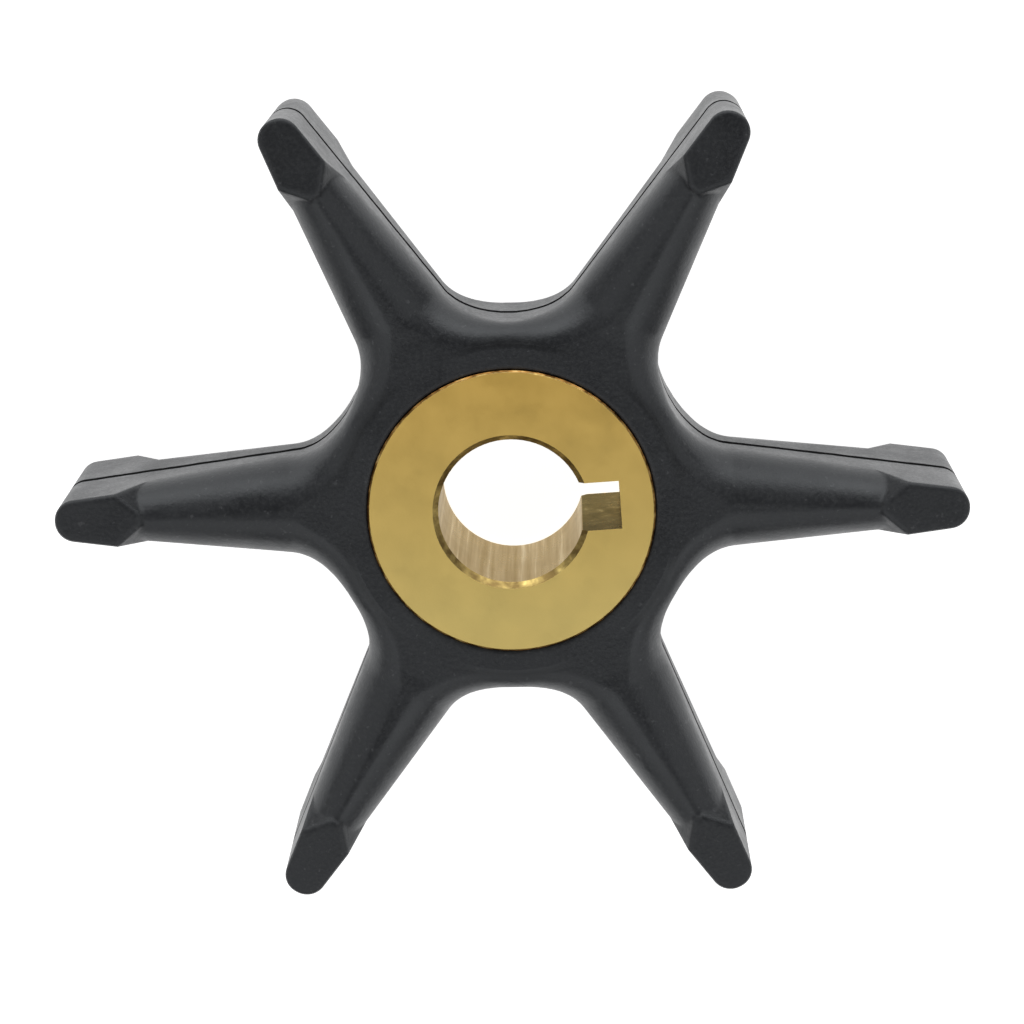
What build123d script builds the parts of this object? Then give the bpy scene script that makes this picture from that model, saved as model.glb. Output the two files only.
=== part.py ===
from math import asin, cos, radians, tan
import os

from build123d import *

# Flexible six-vane pump impeller: a rubber moulding bonded round a keyed brass bush.
# The axis is +Z, the origin is on the axis at mid-width, and the vanes point to 0, 60, 120 degrees and so on.

# Brass bush
bore_diameter = 9.525
bore_chamfer = 0.36
bush_diameter = 18.7
bush_stand = 0.24
bush_edge = 0.12
key_width = 3.175
key_reach = 7.1
key_turn = 3.2

# Plan of the rubber: hub with flats between the vanes, and tapering vanes
vane_count = 6
vane_reach = 29.6
tip_fullness = 0.962
inner_station = 16.0
inner_half = 3.04
outer_station = 23.0
outer_half = 2.1
hub_wall = 2.91
valley_radius = 5.0

# Height of the pads above mid-width, and how far the other crowns lie below the pads
tip_height = 5.955
land_drop = 0.97
valley_drop = 0.935
inner_drop = 0.735
outer_drop = 0.205

# Radius of the rounded shoulders: in the valleys, and at the two stations of the vane
valley_shoulder = 1.5
inner_shoulder = 3.35
outer_shoulder = 2.8
corner_steps = 2

# Place where the flat land ends and the ridge of the vane rises
root_gap = 0.64
root_rise = 3.9

# Flat pad at the end of each vane
pad_length = 5.56
pad_end_half = 0.33
pad_corner_length = 3.95
pad_corner_half = 1.7
pad_side = 4.0
pad_wall_lean = 27.6
pad_edge = 0.12
pad_overlap = 3.1

# Edge of the rubber round the bush
mouth_edge = 0.12

# Worked out from the sizes above
land_height = tip_height - land_drop
bush_length = 2 * (land_height + bush_stand)
hub_flat = bush_diameter / 2 + hub_wall
half_turn = 180 / vane_count
up = Vector(0, 0, 1)

# Half a pocket lies between the middle of the first vane and the middle of the next valley
along_flank = Vector(outer_station - inner_station, outer_half - inner_half).normalized()
flank_normal = along_flank.rotate(Axis.Z, 90)
flat_normal = Vector(1, 0).rotate(Axis.Z, half_turn)
along_flat = flat_normal.rotate(Axis.Z, 90)

# Axis of the round corner between the vane's flank and the hub's flat
flank_line = Axis(Vector(inner_station, inner_half) + flank_normal * valley_radius, along_flank)
flat_line = Axis(flat_normal * (hub_flat + valley_radius), along_flat)
corner_centre = flank_line.intersect(flat_line)
root = corner_centre - flank_normal * valley_radius


def along_vane(inner, outer, x):
    """Value at a distance from the axis, in line with its values at the two stations."""
    return inner + (outer - inner) * (x - inner_station) / (outer_station - inner_station)


def shoulder_centre(x):
    """Centre of the flank's rounded shoulder."""
    crown = Vector(x, along_vane(inner_half, outer_half, x), tip_height - along_vane(inner_drop, outer_drop, x))
    return crown - (flank_normal + up) * along_vane(inner_shoulder, outer_shoulder, x)


shoulder_axis = (shoulder_centre(outer_station) - shoulder_centre(inner_station)).normalized()


def flank_section(x):
    """Section of half a vane, square to the axis of its conical shoulder."""
    radius = along_vane(inner_shoulder, outer_shoulder, x) / cos(asin(flank_normal.dot(shoulder_axis)))
    outward = shoulder_axis.cross(flank_normal).cross(shoulder_axis)
    with BuildSketch(Plane(origin=shoulder_centre(x), x_dir=outward, z_dir=shoulder_axis)) as section:
        with BuildLine():
            CenterArc((0, 0), radius, 0, 90)
            inner_wall = Polyline((0, radius), (-hub_flat / 2, radius), (-hub_flat / 2, -tip_height))
            Polyline(inner_wall @ 1, (radius, -tip_height), (radius, 0))
        make_face()
    return section.sketch


def corner_section(angle, crown, radius):
    """Section across the wall at an angle round the corner, measured from the flank."""
    outward = (flank_normal * -1).rotate(Axis.Z, -angle)
    foot = crown - radius
    core = valley_radius + hub_flat / 2
    with BuildSketch(Plane(origin=corner_centre, x_dir=outward, z_dir=outward.rotate(Axis.Z, -90))) as section:
        with BuildLine():
            CenterArc((valley_radius + radius, foot), radius, 90, 90)
            Polyline((valley_radius, foot), (valley_radius, 0), (core, 0), (core, crown), (valley_radius + radius, crown))
        make_face()
    return section.sketch


# Brass bush with its keyway
with BuildPart() as brass_bush:
    with BuildSketch():
        Circle(bush_diameter / 2)
        Circle(bore_diameter / 2, mode=Mode.SUBTRACT)
    extrude(amount=bush_length / 2, both=True)
    chamfer(brass_bush.edges().filter_by(GeomType.CIRCLE).sort_by(SortBy.RADIUS)[:2], bore_chamfer)
    chamfer(brass_bush.edges().filter_by(GeomType.CIRCLE).sort_by(SortBy.RADIUS)[-2:], bush_edge)
    with BuildSketch(Plane.XY.rotated((0, 0, key_turn))):
        Rectangle(key_reach, key_width, align=(Align.MIN, Align.CENTER))
    extrude(amount=bush_length, both=True, mode=Mode.SUBTRACT)

# Flank of a vane above mid-width: a flat wall under a conical shoulder that narrows toward the tip
with BuildPart() as flank:
    add(flank_section(hub_flat))
    add(flank_section(vane_reach - pad_overlap))
    loft(ruled=True)
    split(bisect_by=Plane(origin=root, z_dir=along_flank), keep=Keep.TOP)
    split(bisect_by=Plane.XY, keep=Keep.TOP)

# Round corner, whose shoulder goes over from the vane's radius and crown to the valley's
valley_crown = tip_height - valley_drop
corner_turn = flank_normal.get_angle(flat_normal)
with BuildPart() as corner:
    add(flank.faces().sort_by(Axis(root, along_flank))[0])
    for step in range(1, corner_steps + 1):
        share = step / corner_steps
        ease = share**2 * (3 - 2 * share)
        root_crown = tip_height - along_vane(inner_drop, outer_drop, root.X)
        root_shoulder = along_vane(inner_shoulder, outer_shoulder, root.X)
        crown = root_crown + (valley_crown - root_crown) * ease
        radius = root_shoulder + (valley_shoulder - root_shoulder) * ease
        add(corner_section(corner_turn * share, crown, radius))
    loft()

# Half a pocket, from the middle of the vane to the middle of the valley
with BuildPart() as half_pocket:
    add(flank)
    add(corner)
    extrude(corner_section(corner_turn, valley_crown, valley_shoulder), amount=-corner_centre.dot(along_flat))
    split(bisect_by=Plane.XZ, keep=Keep.BOTTOM)

# Space above the flat land and above the rising ridge of the vane
land_end = hub_flat + root_gap
ridge_end = land_height + (vane_reach - land_end) * tan(radians(root_rise))
with BuildPart() as clearance:
    with BuildSketch(Plane.XZ):
        with BuildLine():
            Polyline((0, land_height), (land_end, land_height), (vane_reach, ridge_end))
            Polyline((vane_reach, ridge_end), (vane_reach, 2 * tip_height), (0, 2 * tip_height), (0, land_height))
        make_face()
    extrude(amount=vane_reach, both=True)

with BuildPart() as pocket:
    add(half_pocket)
    add(clearance, mode=Mode.SUBTRACT)
    mirror(about=Plane(origin=(0, 0, 0), z_dir=along_flat))

# Round tip of a vane, where two equal arcs take up nearly the whole width
end_half = along_vane(inner_half, outer_half, vane_reach)
end_turn = along_flank.get_angle(Vector(0, -1))
with BuildPart() as tip:
    with BuildSketch():
        with BuildLine():
            FilletPolyline(
                (inner_station, -inner_half),
                (vane_reach, -end_half),
                (vane_reach, end_half),
                (inner_station, inner_half),
                radius=end_half * tip_fullness / tan(radians(end_turn / 2)),
            )
            Line((inner_station, inner_half), (inner_station, -inner_half))
        make_face()
    extrude(amount=tip_height)

# Pad within the tip: its face and two leaning inner walls
with BuildPart() as pad:
    with BuildSketch(Plane.XY.offset(tip_height)):
        with BuildLine():
            pad_start = vane_reach - pad_length
            wall = Line((pad_start, pad_end_half), (vane_reach - pad_corner_length, pad_corner_half))
            side = wall @ ((pad_side - pad_end_half) / (pad_corner_half - pad_end_half))
            Polyline(wall @ 1, side, (vane_reach + pad_side, pad_side), (vane_reach + pad_side, 0))
            Line((pad_start, pad_end_half), (pad_start, 0))
            mirror(about=Plane.XZ)
        make_face()
    extrude(amount=-tip_height, taper=-pad_wall_lean)
    add(tip, mode=Mode.INTERSECT)
    chamfer(pad.faces().sort_by(Axis.Z)[-1].edges(), pad_edge)

# Rubber moulding: pockets and pads round the axis, doubled at mid-width and bored for the bush
with BuildPart() as rubber_vanes:
    with PolarLocations(0, vane_count):
        add(pocket)
        add(pad)
    mirror(about=Plane.XY)
    Cylinder(bush_diameter / 2, 2 * tip_height, mode=Mode.SUBTRACT)
    bush_seat = rubber_vanes.faces().filter_by(GeomType.CYLINDER).sort_by(SortBy.AREA)[-1]
    chamfer(bush_seat.edges().filter_by(GeomType.CIRCLE), mouth_edge)

rubber_vanes.part.label = "rubber_vanes"
brass_bush.part.label = "brass_bush"

os.makedirs("parts", exist_ok=True)
export_step(rubber_vanes.part, "parts/rubber_vanes.step")
export_step(brass_bush.part, "parts/brass_bush.step")
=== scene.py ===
import math

import bpy
from mathutils import Matrix, Vector


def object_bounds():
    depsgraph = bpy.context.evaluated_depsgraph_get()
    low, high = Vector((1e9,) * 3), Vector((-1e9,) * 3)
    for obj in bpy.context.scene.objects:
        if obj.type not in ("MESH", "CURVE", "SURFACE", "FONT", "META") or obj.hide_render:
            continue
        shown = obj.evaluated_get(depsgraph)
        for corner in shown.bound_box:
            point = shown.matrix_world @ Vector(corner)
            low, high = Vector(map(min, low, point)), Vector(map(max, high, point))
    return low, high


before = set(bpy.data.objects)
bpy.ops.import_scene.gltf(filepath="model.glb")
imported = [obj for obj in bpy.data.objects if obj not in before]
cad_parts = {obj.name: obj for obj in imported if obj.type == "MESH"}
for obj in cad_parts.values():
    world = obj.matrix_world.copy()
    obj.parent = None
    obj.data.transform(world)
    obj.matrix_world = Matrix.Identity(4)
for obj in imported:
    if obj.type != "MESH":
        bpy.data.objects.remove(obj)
cad_low, cad_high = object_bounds()

# All lengths are in metres. The part lies flat, so the photograph's upright view is taken from above,
# with the picture's up along +Y.
TILT = math.radians(13.551)
SIDE = math.radians(0.852)
ROLL = math.radians(-0.223)
VANE_TURN = math.radians(-0.9)
EYE_DISTANCE = 0.21017
EYE_RIGHT = -0.000036
EYE_UP = -0.001199
LENS = 111.2

# Light that the empty room gives the part, and its brightness as a plain backdrop
ROOM_LIGHT = 0.12
BACKDROP = 0.9

# Distance of the soft boxes, reach of the floor past them, and the floor's own light
BOX_DISTANCE = 0.8
FLOOR_REACH = 1.5
FLOOR_GLOW = 0.95

# Shape of the part, as far as the materials follow it
PARTING_HALF = 0.00038
BORE_RADIUS = 0.0047625
BUSH_RADIUS = 0.00935
LAND_EDGE = 0.01083
LAND_LEVEL = 0.0048
VANE_COUNT = 6

# Heights of the reliefs that only the materials show, and how far they soften the CAD edges
PARTING_LEDGE = 0.0014
LAND_STEP = 0.00006
RUBBER_GRAIN = 0.00003
BORE_SCORE = 0.00004
LAPPED_FACE = 0.000006
SOFT_EDGE = 0.0005


def make_camera():
    """Stands the camera where the photograph was taken from."""
    back = Vector((math.sin(SIDE), math.sin(TILT), math.cos(TILT))).normalized()
    up = (Vector((0, 1, 0)) - back * back.y).normalized()
    right = up.cross(back)
    turned_right = right * math.cos(ROLL) + up * math.sin(ROLL)
    turned_up = up * math.cos(ROLL) - right * math.sin(ROLL)
    eye = back * EYE_DISTANCE + turned_right * EYE_RIGHT + turned_up * EYE_UP
    axes = Matrix((turned_right, turned_up, back)).transposed().to_4x4()
    data = bpy.data.cameras.new("photo_camera")
    data.lens = LENS
    data.sensor_width = 36
    data.clip_start = 0.005
    camera = bpy.data.objects.new("photo_camera", data)
    bpy.context.scene.collection.objects.link(camera)
    camera.matrix_world = Matrix.Rotation(VANE_TURN, 4, "Z") @ Matrix.Translation(eye) @ axes
    bpy.context.scene.camera = camera


class Nodes:
    """Short helper that adds shader nodes to a material and links them."""

    def __init__(self, name):
        self.material = bpy.data.materials.new(name)
        self.material.use_nodes = True
        self.tree = self.material.node_tree
        self.shader = self.tree.nodes["Principled BSDF"]
        coordinates = self.add("ShaderNodeTexCoord")
        self.place = coordinates.outputs["Object"]
        self.facing = coordinates.outputs["Normal"]

    def add(self, kind, inputs=None, **settings):
        node = self.tree.nodes.new(kind)
        for key, value in settings.items():
            setattr(node, key, value)
        for key, value in (inputs or {}).items():
            if isinstance(value, bpy.types.NodeSocket):
                self.tree.links.new(value, node.inputs[key])
            else:
                node.inputs[key].default_value = value
        return node

    def noise(self, scale, detail=3.0, roughness=0.5, place=None):
        inputs = {"Vector": place or self.place, "Scale": scale, "Detail": detail, "Roughness": roughness}
        return self.add("ShaderNodeTexNoise", inputs).outputs["Fac"]

    def ramp(self, factor, *stops):
        """Colour that goes through the stops, each a position and a colour."""
        node = self.add("ShaderNodeValToRGB", {"Fac": factor})
        line = node.color_ramp.elements
        while len(line) < len(stops):
            line.new(0.5)
        for point, (position, colour) in zip(line, stops):
            point.position = position
            point.color = (*colour, 1)
        return node.outputs["Color"]

    def spread(self, factor, low, high, start=0.0, end=1.0, **settings):
        """Value that goes from low to high while the factor goes from start to end."""
        inputs = {"Value": factor, "From Min": start, "From Max": end, "To Min": low, "To Max": high}
        return self.add("ShaderNodeMapRange", inputs, **settings).outputs["Result"]

    def mix(self, factor, one, two):
        return self.add("ShaderNodeMix", {0: factor, 6: one, 7: two}, data_type="RGBA").outputs[2]

    def maths(self, operation, one, two=0.0):
        return self.add("ShaderNodeMath", {0: one, 1: two}, operation=operation).outputs[0]

    def product(self, *factors):
        result = factors[0]
        for factor in factors[1:]:
            result = self.maths("MULTIPLY", result, factor)
        return result

    def parts(self, vector):
        return self.add("ShaderNodeSeparateXYZ", {0: vector}).outputs

    def distance_from_axis(self, x, y):
        return self.maths("SQRT", self.maths("ADD", self.product(x, x), self.product(y, y)))

    def stretched(self, scale):
        return self.add("ShaderNodeMapping", {"Vector": self.place, "Scale": scale}).outputs[0]

    def bump(self, height, distance, strength=1.0, below=None):
        inputs = {"Height": height, "Distance": distance, "Strength": strength}
        if below is not None:
            inputs["Normal"] = below
        return self.add("ShaderNodeBump", inputs).outputs["Normal"]

    def wire(self, name, value):
        if isinstance(value, bpy.types.NodeSocket):
            self.tree.links.new(value, self.shader.inputs[name])
        else:
            self.shader.inputs[name].default_value = value


def rubber_material():
    """Black moulded rubber: satin and cloudy, with grain and flecks, and relief with painted shade at the
    parting line and the land's edge.
    """
    m = Nodes("rubber")
    x, y, z = m.parts(m.place)
    radius = m.distance_from_axis(x, y)

    # Clouds, grain and flecks
    cloud = m.noise(260, 4, 0.6)
    patch = m.noise(70, 3, 0.5)
    grain = m.noise(4200, 3, 0.6)
    fleck = m.ramp(m.noise(2600, 2, 0.5), (0.66, (0, 0, 0)), (0.76, (1, 1, 1)))
    tone = m.ramp(cloud, (0.3, (0.0112, 0.0118, 0.0136)), (0.7, (0.0160, 0.0168, 0.0190)))
    tone = m.mix(m.spread(patch, 0.0, 0.35, 0.45, 0.7), tone, (0.0200, 0.0208, 0.0232, 1))
    tone = m.mix(m.spread(grain, 0.0, 0.5, 0.45, 0.75), tone, (0.034, 0.035, 0.037, 1))
    tone = m.mix(m.product(fleck, 0.3), tone, (0.11, 0.11, 0.115, 1))

    # Dark line at mid-width, where the mould parts, slightly wavering: painted shade of the ledge there
    waver = m.product(m.maths("SUBTRACT", m.noise(600, 3), 0.5), PARTING_HALF)
    level = m.maths("ADD", z, waver)
    height = m.maths("ABSOLUTE", level)
    parting_shade = m.spread(height, 1.0, 0.0, PARTING_HALF * 0.7, PARTING_HALF)
    ledge = m.spread(level, 1.0, 0.0, -PARTING_HALF, PARTING_HALF, interpolation_type="SMOOTHSTEP")
    tone = m.mix(parting_shade, tone, (0.004, 0.004, 0.004, 1))

    # Painted shade: a dark crescent in each valley, where the flat land round the bush ends
    around = m.product(m.maths("ARCTAN2", y, x), VANE_COUNT)
    valley = m.spread(m.maths("COSINE", around), 1.0, 0.0, -0.6, 0.7)
    raised = m.spread(height, 0.0, 1.0, LAND_LEVEL - 0.0002, LAND_LEVEL)
    past = m.spread(radius, 0.0, 0.7, LAND_EDGE - 0.0001, LAND_EDGE + 0.00015)
    fading = m.spread(radius, 1.0, 0.0, LAND_EDGE + 0.0002, LAND_EDGE + 0.0009)
    step = m.spread(radius, 1.0, 0.0, LAND_EDGE - 0.0001, LAND_EDGE + 0.0003)
    tone = m.mix(m.product(raised, valley, past, fading), tone, (0.003, 0.003, 0.0035, 1))

    m.wire("Base Color", tone)
    m.wire("Roughness", m.spread(m.maths("ADD", cloud, m.product(grain, 0.8)), 0.29, 0.48, 0.65, 1.15))
    m.wire("IOR", 1.52)
    # Painted shade: the reflection is dimmed along the parting line
    m.wire("Specular Tint", m.mix(parting_shade, (0.93, 0.97, 1.0, 1), (0.35, 0.35, 0.36, 1)))
    softened = m.add("ShaderNodeBevel", {"Radius": SOFT_EDGE}, samples=6).outputs["Normal"]
    land = m.bump(m.product(step, valley), LAND_STEP, 1.0, softened)
    parted = m.bump(ledge, PARTING_LEDGE, 1.0, land)
    m.wire("Normal", m.bump(grain, RUBBER_GRAIN, 0.6, parted))
    return m.material


def brass_material():
    """Brass with a satin face, chamfers with painted glints, a browned rim, a bore with streaks along it and
    a key slot darkened with painted shade.
    """
    m = Nodes("brass")
    x, y, z = m.parts(m.place)
    radius = m.distance_from_axis(x, y)
    steep = m.maths("ABSOLUTE", m.parts(m.facing)["Z"])
    flat = m.spread(steep, 0.0, 1.0, 0.9, 0.99)
    wall = m.spread(steep, 1.0, 0.0, 0.1, 0.3)

    # Face, a little paler toward -Y, with faint clouds
    cloud = m.noise(420, 4, 0.62)
    across = m.maths("ADD", y, m.product(m.noise(160, 3), 0.002))
    face = m.mix(m.spread(across, 1.0, 0.0, -0.006, 0.011), (0.90, 0.585, 0.145, 1), (0.88, 0.68, 0.235, 1))
    face = m.mix(m.spread(cloud, 0.0, 0.12, 0.45, 0.7), face, (0.96, 0.73, 0.26, 1))

    # Chamfers with painted glints: bright spots of painted highlight in the colour
    painted_glints = m.noise(900, 3, 0.6)
    edge = m.ramp(painted_glints, (0.4, (0.24, 0.165, 0.06)), (0.58, (0.5, 0.37, 0.13)), (0.72, (0.9, 0.7, 0.25)))

    # Bore with streaks along it, and key slot with a mottle under painted shade
    streaks = m.noise(1.0, 3, 0.6, m.stretched((2600, 2600, 60)))
    bore = m.ramp(streaks, (0.32, (0.38, 0.29, 0.18)), (0.55, (0.52, 0.42, 0.29)), (0.74, (0.85, 0.76, 0.6)))
    mottle = m.noise(1900, 3, 0.65)
    shaded_slot = m.ramp(mottle, (0.35, (0.06, 0.045, 0.02)), (0.6, (0.15, 0.115, 0.05)), (0.76, (0.4, 0.33, 0.18)))
    # Painted shade: the key slot gets darker still toward both faces of the bush
    shaded_slot = m.mix(m.spread(m.maths("ABSOLUTE", z), 0.0, 0.45, 0.0, 0.004), shaded_slot, (0.02, 0.015, 0.007, 1))
    in_slot = m.spread(radius, 0.0, 1.0, BORE_RADIUS + 0.00002, BORE_RADIUS + 0.00006)
    walls = m.mix(in_slot, bore, shaded_slot)

    # Browned rim against the rubber, with an uneven edge
    spots = m.noise(1100, 2, 0.6)
    rust = m.ramp(spots, (0.42, (0.10, 0.045, 0.012)), (0.58, (0.42, 0.22, 0.06)), (0.72, (0.7, 0.5, 0.2)))
    uneven = m.maths("ADD", radius, m.product(m.noise(1500, 3, 0.7), 0.00016))
    browned = m.spread(uneven, 0.0, 1.0, BUSH_RADIUS - 0.00004, BUSH_RADIUS + 0.00002)

    tone = m.mix(flat, edge, face)
    tone = m.mix(wall, tone, walls)
    m.wire("Base Color", m.mix(browned, tone, rust))
    m.wire("Metallic", 1.0)
    m.wire("Specular Tint", (0.7, 0.62, 0.45, 1))
    m.wire("Roughness", m.maths("SUBTRACT", m.spread(cloud, 0.36, 0.48, 0.3, 0.7), m.product(wall, 0.12)))
    lapped = m.bump(m.noise(3000, 3, 0.6), LAPPED_FACE, 0.4)
    m.wire("Normal", m.bump(m.product(streaks, wall), BORE_SCORE, 0.5, lapped))
    return m.material


def floor_material():
    """White table lit from below, as used for pictures without shadows."""
    m = Nodes("floor")
    tone = m.ramp(m.noise(3, 2), (0.3, (0.49, 0.49, 0.49)), (0.7, (0.51, 0.51, 0.51)))
    m.wire("Base Color", tone)
    m.wire("Roughness", 0.9)
    m.wire("Specular IOR Level", 0.0)
    m.wire("Emission Color", (1, 1, 1, 1))
    m.wire("Emission Strength", FLOOR_GLOW)
    return m.material


def dress(node, material):
    """Gives a carried-over CAD node its material."""
    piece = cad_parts[node]
    piece.data.materials.clear()
    piece.data.materials.append(material)
    for face in piece.data.polygons:
        face.material_index = 0


def make_floor():
    """Square floor under the part."""
    mesh = bpy.data.meshes.new("floor")
    reach = FLOOR_REACH
    level = cad_low.z
    corners = [(-reach, -reach, level), (reach, -reach, level), (reach, reach, level), (-reach, reach, level)]
    mesh.from_pydata(corners, [], [(0, 1, 2, 3)])
    mesh.materials.append(floor_material())
    floor = bpy.data.objects.new("floor", mesh)
    bpy.context.scene.collection.objects.link(floor)


def soft_box(name, around, above, size, brightness):
    """Soft box that faces the part, at angles round and above it in degrees, with its size and brightness."""
    around = math.radians(around)
    above = math.radians(above)
    out = Vector((math.cos(above) * math.cos(around), math.cos(above) * math.sin(around), math.sin(above)))
    data = bpy.data.lights.new(name, "AREA")
    data.shape = "RECTANGLE"
    data.size, data.size_y = size
    data.energy = brightness * math.pi * size[0] * size[1]
    lamp = bpy.data.objects.new(name, data)
    bpy.context.scene.collection.objects.link(lamp)
    lamp.location = out * BOX_DISTANCE
    lamp.rotation_euler = out.to_track_quat("Z", "Y").to_euler()


def make_world():
    """Dim room that shows as a plain pale backdrop."""
    world = bpy.data.worlds.new("studio")
    world.use_nodes = True
    tree = world.node_tree
    background = tree.nodes["Background"]
    background.inputs["Color"].default_value = (1, 1, 1, 1)
    rays = tree.nodes.new("ShaderNodeLightPath")
    strength = tree.nodes.new("ShaderNodeMapRange")
    strength.inputs["To Min"].default_value = ROOM_LIGHT
    strength.inputs["To Max"].default_value = BACKDROP
    tree.links.new(rays.outputs["Is Camera Ray"], strength.inputs["Value"])
    tree.links.new(strength.outputs["Result"], background.inputs["Strength"])
    bpy.context.scene.world = world


def make_light():
    """Soft boxes on four sides, the one behind the part low and bright."""
    soft_box("front_box", -90, 45, (1.3, 0.85), 0.75)
    soft_box("left_box", 188, 38, (1.0, 0.8), 0.62)
    soft_box("right_box", -8, 38, (1.0, 0.8), 0.66)
    soft_box("back_box", 90, 18, (1.5, 0.5), 2.2)
    bpy.context.scene.view_settings.view_transform = "Standard"


make_camera()
make_floor()
make_world()
make_light()
dress("rubber_vanes", rubber_material())
dress("brass_bush", brass_material())
